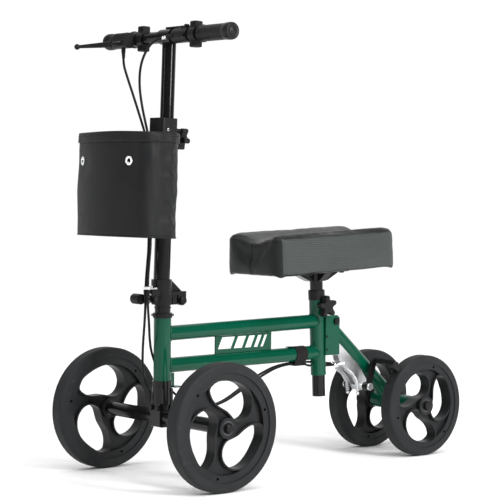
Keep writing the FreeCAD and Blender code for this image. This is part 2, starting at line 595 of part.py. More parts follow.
def parking_lever():
    p = PARKING_PIVOT
    band = around_bar(23, 66, 13.5)
    along = BARREL[1] - BARREL[0]
    mouth = cyl(BARREL[0] + along * 0.55, BARREL[1] + along * 0.3, CABLE_R + FIT)
    head = near_bar(46, 64, -8, 8, 8, 13.5)
    button = cyl(BAR + V(60, -12.5, -1), BAR + V(60, -19, -1), 5.0)
    barrel = cyl(*BARREL, 3.6)
    pin = fuse(cyl(p - Z * 3, p + Z * 5.4, 2.5), cyl(p + Z * 3.6, p + Z * 5.4, 4.5))
    housing = fuse(band, head, button, barrel, pin)
    save("parking_housing", stemmed(cut(housing, cyl(BAR, BAR + X * 80, BAR_R), mouth)))
    blade = fuse(cyl(p, p + Z * 3, 6.0), box(p.x - 58, p.x, p.y - 4, p.y + 4, p.z, p.z + 3))
    blade = blade.makeFillet(1.2, [e for e in blade.Edges if abs(e.CenterOfMass.x - (p.x - 58)) < 0.1 and
                                   e.Length < 4])
    save("parking_lever", stemmed(cut(blade, cyl(p - Z * 2, p + Z * 4, 2.5 + FIT))))


# Knobs and seat
def star(radius, thickness):
    """Five-lobed knob head along +Z, with its back face at the origin."""
    head = cyl(V(0, 0, 0), Z * thickness, radius * 0.52)
    lobes = []
    for k in range(5):
        a = math.radians(72 * k + 18)
        d = V(math.cos(a), math.sin(a), 0)
        side = V(-d.y, d.x, 0)
        end = d * (radius - 5)
        w0, w1 = side * (radius * 0.36), side * 4.2
        lobes.append(prism([w0 * -1, end - w1, end + w1, w0], Z * thickness))
        lobes.append(cyl(end, end + Z * thickness, 4.8))
    knob = fuse(head, *lobes)
    top = [e for e in knob.Edges if abs(e.CenterOfMass.z - thickness) < 0.05 and abs(e.BoundBox.ZLength) < 0.1]
    return knob.makeFillet(1.5, top)


def knobs():
    front = star(21.0, 13.0)
    front = fuse(front, cyl(Z * -2, Z * 1, 9.0), cyl(Z * -11, Z * 0, 4.0))
    front.rotate(V(0, 0, 0), X, -90)
    front.translate(V(0, 27.5, 269))
    save("stem_knob", stemmed(front))
    side = star(22.0, 12.0)
    side = fuse(side, cyl(Z * -6, Z * 1, 8.0), cyl(Z * -9, Z * 0, 4.0 - FIT))
    side.rotate(V(0, 0, 0), Y, 90)
    side.rotate(V(0, 0, 0), X, 25)
    side.translate(SEAT_KNOB)
    save("seat_knob", side)


def seat():
    save("seat_post", seated(ring(V(0, 0, POST_BOTTOM), V(0, 0, PAD_LOW - 3), POST_R, POST_R - 2)))
    deck = box(-40, 40, -55, 55, PAD_LOW - 3, PAD_LOW)
    deck = deck.makeFillet(8.0, [e for e in deck.Edges if abs(e.Length - 3) < 0.01])
    low = PAD_LOW - 20
    collar = ring(V(0, 0, low), V(0, 0, PAD_LOW - 3), 16.0, POST_R)
    fins = []
    for a in range(0, 360, 90):
        fin = x_prism([(14, low), (22, low), (54, PAD_LOW - 5), (54, PAD_LOW - 2), (14, PAD_LOW - 2)], -9, 9)
        if a % 180:
            fin = x_prism([(14, low), (18, low), (36, PAD_LOW - 4), (36, PAD_LOW - 2), (14, PAD_LOW - 2)], -9, 9)
        fin.rotate(V(0, 0, 0), Z, a)
        fins.append(fin)
    plate = fuse(deck, collar, *fins)
    plate = cut(plate, cyl(V(0, 0, low - 1), V(0, 0, PAD_LOW - 3), POST_R), *[cyl(*s) for s in pad_screws(2.5)])
    save("seat_plate", seated(plate))
    pad = box(-PAD_WIDTH / 2, PAD_WIDTH / 2, PAD_FRONT, PAD_REAR, PAD_LOW, PAD_TOP)
    pad = pad.makeFillet(PAD_CORNER, [e for e in pad.Edges if abs(e.Length - (PAD_TOP - PAD_LOW)) < 0.01])
    crown = [e for e in pad.Edges if abs(e.BoundBox.ZMin - PAD_TOP) < 0.1]
    pad = pad.makeFillet(7.0, crown)
    save("knee_pad", seated(cut(pad, *[cyl(*s) for s in pad_screws(2.5)])))
    heads = []
    for a, b, r in pad_screws(2.5):
        heads.append(seated(fuse(cyl(a, b, r), domed(V(a.x, a.y, PAD_LOW - 3), V(0, 0, -1), 5.0, 3.0))))
    save("seat_bolts", *heads)


def pad_screws(r):
    return [(V(x, y, PAD_LOW - 3), V(x, y, PAD_LOW + 14), r) for x in (-28, 28) for y in (-42, 42)]


# Rear brakes
def brake_plate():
    """Zinc bracket under the rear tube that carries the cross shaft of both brake arms."""
    outline = [(424, 222), (434, 230), (482, 186), (506, 152), (500, 132), (486, 131), (470, 158), (432, 194)]
    cheek = x_prism(outline, 7.0, 9.5)
    tube = cyl(REAR_TUBE_TOP, REAR_AXLE, REAR_TUBE_R)
    bridge = x_prism([(426, 218), (472, 177), (468, 172), (422, 213)], -9.5, 9.5)
    shaft = cyl(BRAKE_PIVOT - X * 34, BRAKE_PIVOT + X * 34, 5.0)
    ends = [domed(BRAKE_PIVOT + X * 34, X, 7.5, 3.0), domed(BRAKE_PIVOT - X * 34, V(-1, 0, 0), 7.5, 3.0)]
    stops = []
    for route in (RIGHT_CABLE, LEFT_CABLE):
        end, before = V(*route[-1]), V(*route[-2])
        stops.append(cyl(end, end + (end - before).normalize() * 9, 3.8))
    plate = fuse(cheek, mirror_x(cheek), bridge, shaft, *(ends + stops))
    save("brake_plate", cut(plate, tube))


def brake_springs():
    """Return spring and ball-headed bolt of each brake arm."""
    parts = []
    for s in (1, -1):
        x = s * 14.0
        path = [V(x, 446, 176), V(x, 462, 166), V(x, 474, 150), V(x, 478, 128)]
        for a, b in zip(path, path[1:]):
            n = round((b - a).Length / 3.6)
            for k in range(n):
                c = a + (b - a) * (k / n)
                parts.append(Part.makeTorus(3.0, 0.9, c, b - a))
        wire = fuse(*[cyl(a, b, 1.2) for a, b in zip(path, path[1:])], *[Part.makeSphere(1.2, q) for q in path[1:-1]])
        parts.append(fuse(wire, Part.makeSphere(3.6, path[-1] - Z * 2)))
    save("brake_springs", *parts)


def brake_arm(sign):
    """Bent steel strap on the cross shaft, with the shoe that presses on the tyre."""
    p = BRAKE_PIVOT
    hub = cyl(V(20, p.y, p.z), V(33, p.y, p.z), 8.5)
    upright = x_prism([(485, 140), (499, 140), (515, 191), (505, 195), (500, 190)], 27, 31)
    over = x_prism([(503, 188), (507, 195.5), (519, 191), (517, 187.5)], 27, 88)
    shoe = x_prism([(504.5, 190), (517, 189), (529, 180.5), (520.5, 172.0), (508.5, 180.5)], 63, 86)
    arm = fuse(hub, upright, over, shoe)
    arm = cut(arm, cyl(V(10, p.y, p.z), V(40, p.y, p.z), 5.0 + FIT))
    arm = cut(arm, cyl(V(50, REAR_AXLE.y, REAR_AXLE.z), V(100, REAR_AXLE.y, REAR_AXLE.z), REAR_R + 3.0))
    return arm if sign > 0 else mirror_x(arm)


# Brake cables, from the levers to the rear brakes: the points along each route, and the runs whose middles part
# it into the stretches that the height setting, the fold and the steering bend, and the last one on the frame.
RIGHT_CABLE = [
    (-98, -20.57, 782.8), (-98, -21.22, 762), (-82, -24.5, 738), (-50, -28.5, 690), (-27, -28, 645),
    (-14, -25.7, 613), (-9.5, -25.2, 582), (-9, -25.8, 538), (-10, -25.5, 482), (-6.5, -27.5, 424), (-1, -36, 382),
    (2.6, -41, 350), (3, -41.2, 318), (1, -41.5, 286), (-6, -39.5, 250), (-16, -33, 214), (-28, -21, 182),
    (-33.5, -4, 158), (-32.5, 19, 140), (-23.5, 54, 128), (-12, 88, 124), (-6, 118, 125), (-4.5, 150, 133),
    (-5.5, 196, 157), (-5.2, 240, 179), (-4, 284, 193.2), (-5.2, 346, 195.4), (-16, 366, 193), (-21.5, 386, 191),
    (-18, 408, 188.5), (-8, 422, 187.8), (-5, 437, 186.5),
]
LEFT_CABLE = [
    (22, -7.79, 804.17), (4, -19.6, 800.94), (-12, -28.5, 786), (-26, -34.5, 756), (-28.5, -35.5, 718),
    (-25, -31, 678), (-16, -27.6, 642), (-7.5, -25.6, 612), (-3.5, -25, 582), (-3, -25.8, 538), (-4, -25.5, 482),
    (0, -28, 424),
    (5.5, -37, 382), (9.3, -41, 350), (9.2, -40.5, 318), (6, -35, 287), (-3, -27, 260), (-14.5, -14.8, 235),
    (-21, 0, 209), (-21, 15, 183), (-16, 31, 160), (-8, 54, 141), (2, 86, 128), (6.5, 118, 127), (5, 150, 134.5),
    (3, 196, 156), (3, 240, 177), (2.5, 284, 192.5), (2.5, 346, 194.6), (-15, 365, 186.5), (-22.5, 386, 183.5),
    (-17, 405, 183), (-1, 421, 184.5), (5, 437, 186.5),
]
SPANS = {
    "cables_bar": ((0, 4), (0, 6)),
    "cables_stem": ((4, 12), (6, 14)),
    "cables_steer": ((12, 20), (14, 22)),
    "cables_frame": ((20, None), (22, None)),
}


def stretch(route, first, last):
    """Points of a route from the middle of one run, or its start, to the middle of another, or its end."""
    def middle(k):
        return tuple((p + q) / 2 for p, q in zip(route[k], route[k + 1]))

    start = [middle(first)] if first else [route[0]]
    end = [route[-1]] if last is None else [middle(last)]
    inner = route[first + 1:-1] if last is None else route[first + 1:last + 1]
    return start + list(inner) + end


def main():
    os.makedirs("parts", exist_ok=True)
    wheel_set("front", FRONT_R, FRONT_W, FRONT_X, V(0, 0, FRONT_R), {"left": 65, "right": 34})
    wheel_set("rear", REAR_R, REAR_W, REAR_X, REAR_AXLE, {"left": 8, "right": 60})
    save("rear_bearings", *axle_bearings(REAR_X, REAR_AXLE))
    frame_tubes()
    headset()
    seat_collar()
    rear_frame()
    frame_bolts()
    cable_strap()
    fork()
    folding_joint()
    latch()
    stem_bolts()
    stem()
    bag()
    handlebar()
    knobs()
    seat()
    brake_plate()
    brake_springs()
    save("brake_arm_left", brake_arm(1))
    save("brake_arm_right", brake_arm(-1))
    for node, spans in SPANS.items():
        routes = [stretch(route, *span) for route, span in zip((RIGHT_CABLE, LEFT_CABLE), spans)]
        save(node, *[cable(node, route, CABLE_R) for route in routes])


main()
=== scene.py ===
import math

import bmesh
import bpy
from mathutils import Matrix, Vector, bvhtree, noise


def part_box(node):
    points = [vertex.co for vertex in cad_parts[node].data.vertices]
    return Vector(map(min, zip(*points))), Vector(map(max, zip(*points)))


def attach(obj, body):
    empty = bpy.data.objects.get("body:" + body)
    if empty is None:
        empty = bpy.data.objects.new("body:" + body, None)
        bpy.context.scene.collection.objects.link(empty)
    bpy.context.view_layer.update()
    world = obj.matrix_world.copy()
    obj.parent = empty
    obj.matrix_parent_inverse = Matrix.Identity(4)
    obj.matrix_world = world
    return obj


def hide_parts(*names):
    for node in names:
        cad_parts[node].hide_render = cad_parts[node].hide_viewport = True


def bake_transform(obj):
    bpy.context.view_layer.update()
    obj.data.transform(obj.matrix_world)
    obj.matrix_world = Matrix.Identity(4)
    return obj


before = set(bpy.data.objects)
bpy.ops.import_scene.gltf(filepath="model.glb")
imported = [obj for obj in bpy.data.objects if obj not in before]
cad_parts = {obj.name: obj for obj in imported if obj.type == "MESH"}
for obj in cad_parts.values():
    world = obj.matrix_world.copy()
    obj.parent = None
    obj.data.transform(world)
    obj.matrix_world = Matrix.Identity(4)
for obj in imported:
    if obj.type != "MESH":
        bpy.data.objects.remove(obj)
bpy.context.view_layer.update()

# The front axle, the leaning stem and the leaning seat tube are the places that the pieces are built from.
BEAM_LOW, BEAM_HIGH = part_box("front_beam")
AXLE_Y = (BEAM_LOW.y + BEAM_HIGH.y) / 2
STEM_UP, SEAT_UP = 0.355, 0.316
STEM_LEAN, SEAT_LEAN = math.radians(-1.8), math.radians(2.55)
STEM = Matrix.Translation((0, AXLE_Y - 0.003, STEM_UP)) @ Matrix.Rotation(STEM_LEAN, 4, "X")
SEAT = Matrix.Translation((0, AXLE_Y + 0.3781, SEAT_UP)) @ Matrix.Rotation(SEAT_LEAN, 4, "X")


# Camera, light and floor
def make_camera():
    """A long lens, a little above the axles, that looks at the front and the rider's left side."""
    azimuth, elevation, roll = (math.radians(a) for a in (49.93, 2.10, 0.52))
    forward = Vector((-math.sin(azimuth) * math.cos(elevation), math.cos(azimuth) * math.cos(elevation),
                      -math.sin(elevation)))
    level = forward.cross(Vector((0, 0, 1))).normalized()
    top = level.cross(forward)
    right = level * math.cos(roll) + top * math.sin(roll)
    up = right.cross(forward)
    data = bpy.data.cameras.new("camera")
    data.lens = 127.6
    data.sensor_width = 36.0
    camera = bpy.data.objects.new("camera", data)
    camera.matrix_world = Matrix((right, up, -forward)).transposed().to_4x4()
    camera.location = (2.56577, -2.22879, 0.53859)
    bpy.context.scene.collection.objects.link(camera)
    bpy.context.scene.camera = camera


def area_light(name, at, aim, size, power):
    """Rectangular light at a place, turned to aim."""
    data = bpy.data.lights.new(name, "AREA")
    data.shape = "RECTANGLE"
    data.size, data.size_y = size
    data.energy = power
    light = bpy.data.objects.new(name, data)
    light.location = at
    light.rotation_euler = (Vector(aim) - Vector(at)).to_track_quat("-Z", "Y").to_euler()
    bpy.context.scene.collection.objects.link(light)


def make_studio():
    """A bright backdrop behind the scooter, a dim room in front of it and soft light from above."""
    world = bpy.data.worlds.new("studio")
    world.use_nodes = True
    nodes, links = world.node_tree.nodes, world.node_tree.links
    place = nodes.new("ShaderNodeTexCoord")
    toward = nodes.new("ShaderNodeVectorMath")
    toward.operation = "DOT_PRODUCT"
    toward.inputs[1].default_value = (-0.765, 0.644, 0.0)
    links.new(place.outputs["Generated"], toward.inputs[0])
    ramp = nodes.new("ShaderNodeMapRange")
    ramp.interpolation_type = "SMOOTHSTEP"
    for socket, value in (("From Min", 0.2), ("From Max", 0.75), ("To Min", 0.10), ("To Max", 1.0)):
        ramp.inputs[socket].default_value = value
    links.new(toward.outputs["Value"], ramp.inputs["Value"])
    links.new(ramp.outputs["Result"], nodes["Background"].inputs["Color"])
    nodes["Background"].inputs["Strength"].default_value = 1.02
    bpy.context.scene.world = world
    bpy.context.scene.view_settings.view_transform = "Standard"
    sky = bpy.data.lights.new("top", "SUN")
    sky.energy = 2.5
    sky.angle = math.radians(75)
    above = bpy.data.objects.new("top", sky)
    above.rotation_euler = (math.radians(12), math.radians(14), 0)
    bpy.context.scene.collection.objects.link(above)
    aim = (0, 0, 0.4)
    area_light("key", (2.8, 0.4, 1.6), aim, (0.6, 1.6), 85)
    area_light("side", (-0.9, -2.8, 1.3), aim, (0.25, 2.2), 12)
    make_floor()


def make_floor():
    """A disc that reaches past everything the camera sees."""
    ground = bpy.data.meshes.new("floor")
    bm = bmesh.new()
    bmesh.ops.create_circle(bm, cap_ends=True, segments=96, radius=60)
    bm.to_mesh(ground)
    bm.free()
    floor = bpy.data.objects.new("floor", ground)
    bpy.context.scene.collection.objects.link(floor)
    ground.materials.append(plain_floor())


def plain_floor():
    """Near-white and almost matt."""
    made = bpy.data.materials.new("floor")
    made.use_nodes = True
    shader = made.node_tree.nodes["Principled BSDF"]
    shader.inputs["Base Color"].default_value = (0.97, 0.97, 0.97, 1)
    shader.inputs["Roughness"].default_value = 0.9
    shader.inputs["Specular IOR Level"].default_value = 0.1
    return made


# Materials
class Finish:
    """One procedural material: a colour that varies, a roughness that varies and a stack of bumps."""

    def __init__(self, name, roughness, metallic=0.0, **settings):
        """Settings are shader inputs, with an underscore for each space."""
        self.material = bpy.data.materials.new(name)
        self.material.use_nodes = True
        self.nodes = self.material.node_tree.nodes
        self.links = self.material.node_tree.links
        self.shader = self.nodes["Principled BSDF"]
        self.shader.inputs["Roughness"].default_value = roughness
        self.shader.inputs["Metallic"].default_value = metallic
        for socket, value in settings.items():
            self.shader.inputs[socket.replace("_", " ")].default_value = value
        self.place = self.nodes.new("ShaderNodeTexCoord").outputs["Object"]
        self.normal = None

    def mapped(self, scale=(1, 1, 1)):
        """Object coordinates, stretched along the axes."""
        node = self.nodes.new("ShaderNodeMapping")
        node.inputs["Scale"].default_value = scale
        self.links.new(self.place, node.inputs["Vector"])
        return node.outputs["Vector"]

    def cloud(self, scale, detail, roughness=0.55, stretch=(1, 1, 1), distortion=0.0):
        """Noise between 0 and 1."""
        node = self.nodes.new("ShaderNodeTexNoise")
        node.inputs["Scale"].default_value = scale
        node.inputs["Detail"].default_value = detail
        node.inputs["Roughness"].default_value = roughness
        node.inputs["Distortion"].default_value = distortion
        self.links.new(self.mapped(stretch), node.inputs["Vector"])
        return node.outputs["Fac"]

    def cells(self, scale, feature="F1"):
        """Distance to the nearest cell's point, or to its edge."""
        node = self.nodes.new("ShaderNodeTexVoronoi")
        node.feature = feature
        node.inputs["Scale"].default_value = scale
        self.links.new(self.mapped(), node.inputs["Vector"])
        return node.outputs["Distance"]

    def waves(self, scale, axis):
        """Bands across one axis."""
        node = self.nodes.new("ShaderNodeTexWave")
        node.bands_direction = axis
        node.inputs["Scale"].default_value = scale
        self.links.new(self.mapped(), node.inputs["Vector"])
        return node.outputs["Fac"]

    def maths(self, operation, a, b):
        """One operation on two values, each a number or an output."""
        node = self.nodes.new("ShaderNodeMath")
        node.operation = operation
        for socket, value in zip(node.inputs, (a, b)):
            if isinstance(value, (int, float)):
                socket.default_value = value
            else:
                self.links.new(value, socket)
        return node.outputs[0]

    def steps(self, value, low, high):
        """0 below low, 1 above high, and smooth between."""
        node = self.nodes.new("ShaderNodeMapRange")
        node.interpolation_type = "SMOOTHSTEP"
        node.inputs["From Min"].default_value = low
        node.inputs["From Max"].default_value = high
        self.links.new(value, node.inputs["Value"])
        return node.outputs["Result"]

    def tint(self, layers, base):
        """Base colour, then (mask, colour) layers over it."""
        below = None
        for mask, colour in layers:
            node = self.nodes.new("ShaderNodeMix")
            node.data_type = "RGBA"
            self.links.new(mask, node.inputs["Factor"])
            if below is None:
                node.inputs["A"].default_value = (*base, 1)
            else:
                self.links.new(below, node.inputs["A"])
            node.inputs["B"].default_value = (*colour, 1)
            below = node.outputs["Result"]
        self.links.new(below, self.shader.inputs["Base Color"])

    def gloss(self, value, low, high):
        """Roughness from low to high as the value goes from 0 to 1."""
        node = self.nodes.new("ShaderNodeMapRange")
        node.inputs["To Min"].default_value = low
        node.inputs["To Max"].default_value = high
        self.links.new(value, node.inputs["Value"])
        self.links.new(node.outputs["Result"], self.shader.inputs["Roughness"])

    def bump(self, height, depth, strength):
        """One more bump over those made before."""
        node = self.nodes.new("ShaderNodeBump")
        node.inputs["Strength"].default_value = strength
        node.inputs["Distance"].default_value = depth
        self.links.new(height, node.inputs["Height"])
        if self.normal is not None:
            self.links.new(self.normal, node.inputs["Normal"])
        self.normal = node.outputs["Normal"]
        self.links.new(self.normal, self.shader.inputs["Normal"])


def paint(name, base, shade, light, roughness, coat):
    """Gloss enamel over tube: faint orange peel, dust and fine scratches."""
    made = Finish(name, roughness, Coat_Weight=coat, Coat_Roughness=0.05, Specular_IOR_Level=0.14)
    patches = made.steps(made.cloud(9, 2), 0.35, 0.7)
    speck = made.maths("MULTIPLY", made.steps(made.cells(260), 0.03, 0.0), 0.2)
    dust = made.maths("MULTIPLY", made.steps(made.cloud(55, 5, 0.7), 0.62, 0.8), 0.12)
    made.tint([(patches, shade), (speck, light), (dust, light)], base)
    made.gloss(made.cloud(35, 4), roughness * 0.85, roughness * 1.3)
    made.bump(made.cloud(420, 2), 0.00008, 0.3)
    made.bump(made.cloud(900, 2, stretch=(0.1, 1, 1)), 0.00004, 0.25)
    return made.material


def metal(name, base, shade, roughness, grain=(1, 1, 1)):
    """Plated or drawn steel with fine lines and faint stains."""
    made = Finish(name, roughness, 1.0)
    stain = made.maths("MULTIPLY", made.steps(made.cloud(45, 4), 0.4, 0.75), 0.6)
    made.tint([(stain, shade)], base)
    made.gloss(made.cloud(120, 5), roughness * 0.75, roughness * 1.4)
    made.bump(made.cloud(1400, 2, stretch=grain), 0.00004, 0.5)
    return made.material


def moulded(name, base, shade, worn, roughness, grain=1300, depth=0.00007):
    """Moulded plastic or rubber: fine texture, slight colour drift and a few rubbed places."""
    made = Finish(name, roughness, Specular_IOR_Level=0.17)
    drift = made.steps(made.cloud(14, 3), 0.35, 0.7)
    rubbed = made.maths("MULTIPLY", made.steps(made.cloud(90, 4), 0.58, 0.8), 0.25)
    made.tint([(drift, shade), (rubbed, worn)], base)
    made.gloss(made.cloud(50, 4), roughness * 0.85, roughness * 1.2)
    made.bump(made.cells(grain), depth, 0.5)
    made.bump(made.cloud(260, 3), 0.00006, 0.3)
    return made.material


def wave_scale(pitch):
    """Scale of a wave texture whose bands repeat at the pitch."""
    return math.pi / 10 / pitch


def woven(name, base, shade, pitch, depth):
    """Plain weave: two sets of threads, at right angles."""
    made = Finish(name, 0.75, Specular_IOR_Level=0.15, Sheen_Weight=0.06, Sheen_Roughness=0.4)
    scale = wave_scale(pitch)
    across, along = made.waves(scale, "Y"), made.waves(scale, "Z")
    threads = made.maths("MAXIMUM", across, along)
    made.tint([(threads, shade), (made.maths("MULTIPLY", made.steps(made.cloud(30, 4), 0.45, 0.7), 0.5), shade)],
              base)
    made.bump(threads, depth, 0.8)
    made.bump(made.cloud(900, 3), 0.0001, 0.4)
    return made.material


def leather(name, base, shade, light, roughness, grain, depth):
    """Coated fabric with a leather grain, soft creases and rubbed high places."""
    made = Finish(name, roughness, Specular_IOR_Level=0.17)
    pores = made.cells(grain, "DISTANCE_TO_EDGE")
    drift = made.steps(made.cloud(11, 3), 0.35, 0.75)
    rubbed = made.maths("MULTIPLY", made.steps(made.cloud(26, 5, 0.65), 0.55, 0.8), 0.35)
    made.tint([(drift, shade), (rubbed, light)], base)
    made.gloss(made.cloud(70, 4), roughness * 0.85, roughness * 1.25)
    made.bump(made.steps(pores, 0.0, 0.12), depth, 0.6)
    made.bump(made.cloud(60, 5, 0.6, distortion=0.6), 0.0006, 0.35)
    return made.material


def embossed_vinyl(name, base, shade, roughness):
    """Vinyl pressed with a fine square mesh, as on the long sides of the pad."""
    made = Finish(name, roughness, Specular_IOR_Level=0.2)
    scale = wave_scale(0.0037)
    rows, columns = made.waves(scale, "Y"), made.waves(scale, "Z")
    mesh = made.maths("MAXIMUM", made.steps(rows, 0.55, 0.95), made.steps(columns, 0.55, 0.95))
    drift = made.steps(made.cloud(9, 3), 0.35, 0.75)
    made.tint([(drift, tuple(0.82 * c for c in base)), (made.maths("MULTIPLY", mesh, 0.85), shade)], base)
    made.gloss(made.cloud(50, 4), roughness * 0.85, roughness * 1.2)
    made.bump(mesh, 0.0004, 0.7)
    made.bump(made.cells(900), 0.00008, 0.5)
    return made.material


def make_materials():
    """One finish for each slot of the CAD."""
    return {
        "green_paint": paint("green_paint", (0.0003, 0.070, 0.037), (0.0002, 0.061, 0.031), (0.03, 0.12, 0.08),
                             0.22, 0.25),
        "black_paint": paint("black_paint", (0.0045, 0.0045, 0.005), (0.007, 0.007, 0.0075), (0.05, 0.05, 0.05),
                             0.18, 0.2),
        "black_steel": paint("black_steel", (0.0065, 0.0065, 0.007), (0.010, 0.010, 0.0105), (0.06, 0.06, 0.06),
                             0.30, 0.1),
        "zinc_steel": metal("zinc_steel", (0.80, 0.81, 0.82), (0.62, 0.63, 0.65), 0.32, (1, 0.2, 1)),
        "chrome_steel": metal("chrome_steel", (0.88, 0.89, 0.90), (0.78, 0.79, 0.80), 0.14),
        "bearing_steel": metal("bearing_steel", (0.10, 0.10, 0.105), (0.06, 0.06, 0.063), 0.34),
        "black_plastic": moulded("black_plastic", (0.009, 0.009, 0.0095), (0.013, 0.013, 0.014),
                                 (0.03, 0.03, 0.031), 0.40),
        "wheel_plastic": moulded("wheel_plastic", (0.0135, 0.014, 0.015), (0.018, 0.019, 0.020),
                                 (0.04, 0.04, 0.042), 0.36, 900),
        "tyre_grey": moulded("tyre_grey", (0.021, 0.022, 0.023), (0.017, 0.018, 0.019), (0.07, 0.07, 0.073),
                             0.60, 700, 0.0001),
        "grip_rubber": moulded("grip_rubber", (0.009, 0.009, 0.010), (0.013, 0.013, 0.014),
                               (0.03, 0.03, 0.031), 0.34, 1500),
        "cable_sheath": moulded("cable_sheath", (0.006, 0.006, 0.0065), (0.009, 0.009, 0.0095),
                                (0.03, 0.03, 0.03), 0.34, 2500, 0.00003),
        "strap_fabric": woven("strap_fabric", (0.008, 0.007, 0.007), (0.015, 0.013, 0.013), 0.0014, 0.0003),
        "bag_leather": leather("bag_leather", (0.0105, 0.0108, 0.0115), (0.0080, 0.0083, 0.0090),
                               (0.018, 0.018, 0.019), 0.42, 620, 0.00016),
        "pad_vinyl": leather("pad_vinyl", (0.0165, 0.0180, 0.0175), (0.0130, 0.0145, 0.0140),
                             (0.024, 0.026, 0.025), 0.33, 900, 0.00010),
    }


def carry_over(materials):
    """Every CAD node takes the finish of its slot."""
    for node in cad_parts.values():
        for slot in node.material_slots:
            slot.material = materials[slot.material.name.split(".")[0]]


# Mesh helpers
def piece(name, bm, body, slot, *materials, smooth=True):
    """An object from the mesh, with its materials, that rides on the body if one is named. The slot argument is
    not used.
    """
    mesh = bpy.data.meshes.new(name)
    bmesh.ops.recalc_face_normals(bm, faces=bm.faces)
    for face in bm.faces:
        face.smooth = smooth
    bm.to_mesh(mesh)
    bm.free()
    made = bpy.data.objects.new(name, mesh)
    bpy.context.scene.collection.objects.link(made)
    for material in materials:
        mesh.materials.append(material)
    if body:
        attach(made, body)
    return made


def ring(bm, centre, side, other, radius, sides):
    """Points on the circle round centre that holds the directions side and other."""
    turns = [2 * math.pi * j / sides for j in range(sides)]
    return [bm.verts.new(centre + (side * math.cos(a) + other * math.sin(a)) * radius) for a in turns]


def join(bm, a, b):
    """Faces between two rings of as many points."""
    count = len(a)
    for j in range(count):
        bm.faces.new((a[j], a[(j + 1) % count], b[(j + 1) % count], b[j]))


def close_up(bm, rings):
    """Faces along the rings, and one over each end."""
    for a, b in zip(rings, rings[1:]):
        join(bm, a, b)
    bm.faces.new(rings[0][::-1])
    bm.faces.new(rings[-1])


def tube(bm, points, radii, sides):
    """Closed tube along points, with one radius for each."""
    rings, side = [], None
    for k, at in enumerate(points):
        along = (points[min(k + 1, len(points) - 1)] - points[max(k - 1, 0)]).normalized()
        if side is None:
            side = along.orthogonal().normalized()
        side = (side - along * side.dot(along)).normalized()
        rings.append(ring(bm, at, side, along.cross(side), radii[k], sides))
    close_up(bm, rings)


def turned(bm, origin, axis, profile, sides):
    """Lathe: profile is (distance along the axis, radius), from one end to the other."""
    axis = axis.normalized()
    side = axis.orthogonal().normalized()
    other = axis.cross(side)
    close_up(bm, [ring(bm, origin + axis * along, side, other, radius, sides) for along, radius in profile])


# Brake cables: their routes in mm from the levers to the rear brakes, from the front axle's middle
RIGHT_CABLE = [
    (-98, -20.57, 782.8), (-98, -21.22, 762), (-82, -24.5, 738), (-50, -28.5, 690), (-27, -28, 645),
    (-14, -25.7, 613), (-9.5, -25.2, 582), (-9, -25.8, 538), (-10, -25.5, 482), (-6.5, -27.5, 424), (-1, -36, 382),
    (2.6, -41, 350), (3, -41.2, 318), (1, -41.5, 286), (-6, -39.5, 250), (-16, -33, 214), (-28, -21, 182),
    (-33.5, -4, 158), (-32.5, 19, 140), (-23.5, 54, 128), (-12, 88, 124), (-6, 118, 125), (-4.5, 150, 133),
    (-5.5, 196, 157), (-5.2, 240, 179), (-4, 284, 193.2), (-5.2, 346, 195.4), (-16, 366, 193), (-21.5, 386, 191),
    (-18, 408, 188.5), (-8, 422, 187.8), (-5, 437, 186.5),
]
LEFT_CABLE = [
    (22, -7.79, 804.17), (4, -19.6, 800.94), (-12, -28.5, 786), (-26, -34.5, 756), (-28.5, -35.5, 718),
    (-25, -31, 678), (-16, -27.6, 642), (-7.5, -25.6, 612), (-3.5, -25, 582), (-3, -25.8, 538), (-4, -25.5, 482),
    (0, -28, 424), (5.5, -37, 382), (9.3, -41, 350), (9.2, -40.5, 318), (6, -35, 287), (-3, -27, 260),
    (-14.5, -14.8, 235), (-21, 0, 209), (-21, 15, 183), (-16, 31, 160), (-8, 54, 141), (2, 86, 128),
    (6.5, 118, 127), (5, 150, 134.5), (3, 196, 156), (3, 240, 177), (2.5, 284, 192.5), (2.5, 346, 194.6),
    (-15, 365, 186.5), (-22.5, 386, 183.5), (-17, 405, 183), (-1, 421, 184.5), (5, 437, 186.5),
]
CABLE_R = 0.0023
# Heights inside the stem's clips and beside the head tube, where one length of a cable meets the next
JOIN_UPS = (0.500, 0.262)
# Ferrule over a cable's end: (distance along it, radius)
FERRULE = [(0, 0.0031), (0.001, 0.0034), (0.009, 0.0034), (0.0095, 0.0029), (0.011, 0.0029), (0.0115, 0.0033),
           (0.014, 0.0026)]


def smooth_line(name, route):
    """Points along the NURBS curve that has the route's points as its control points."""
    curve = bpy.data.curves.new(name, "CURVE")
    curve.dimensions = "3D"
    curve.resolution_u = 10
    spline = curve.splines.new("NURBS")
    spline.points.add(len(route) - 1)
    for point, (x, y, z) in zip(spline.points, route):
        point.co = (x / 1000, y / 1000 + AXLE_Y, z / 1000, 1)
    spline.order_u = 3
    spline.use_endpoint_u = True
    holder = bpy.data.objects.new(name, curve)
    bpy.context.scene.collection.objects.link(holder)
    mesh = bpy.data.meshes.new_from_object(holder)
    line = [v.co.copy() for v in mesh.vertices]
    bpy.data.objects.remove(holder)
    bpy.data.curves.remove(curve)
    bpy.data.meshes.remove(mesh)
    return line


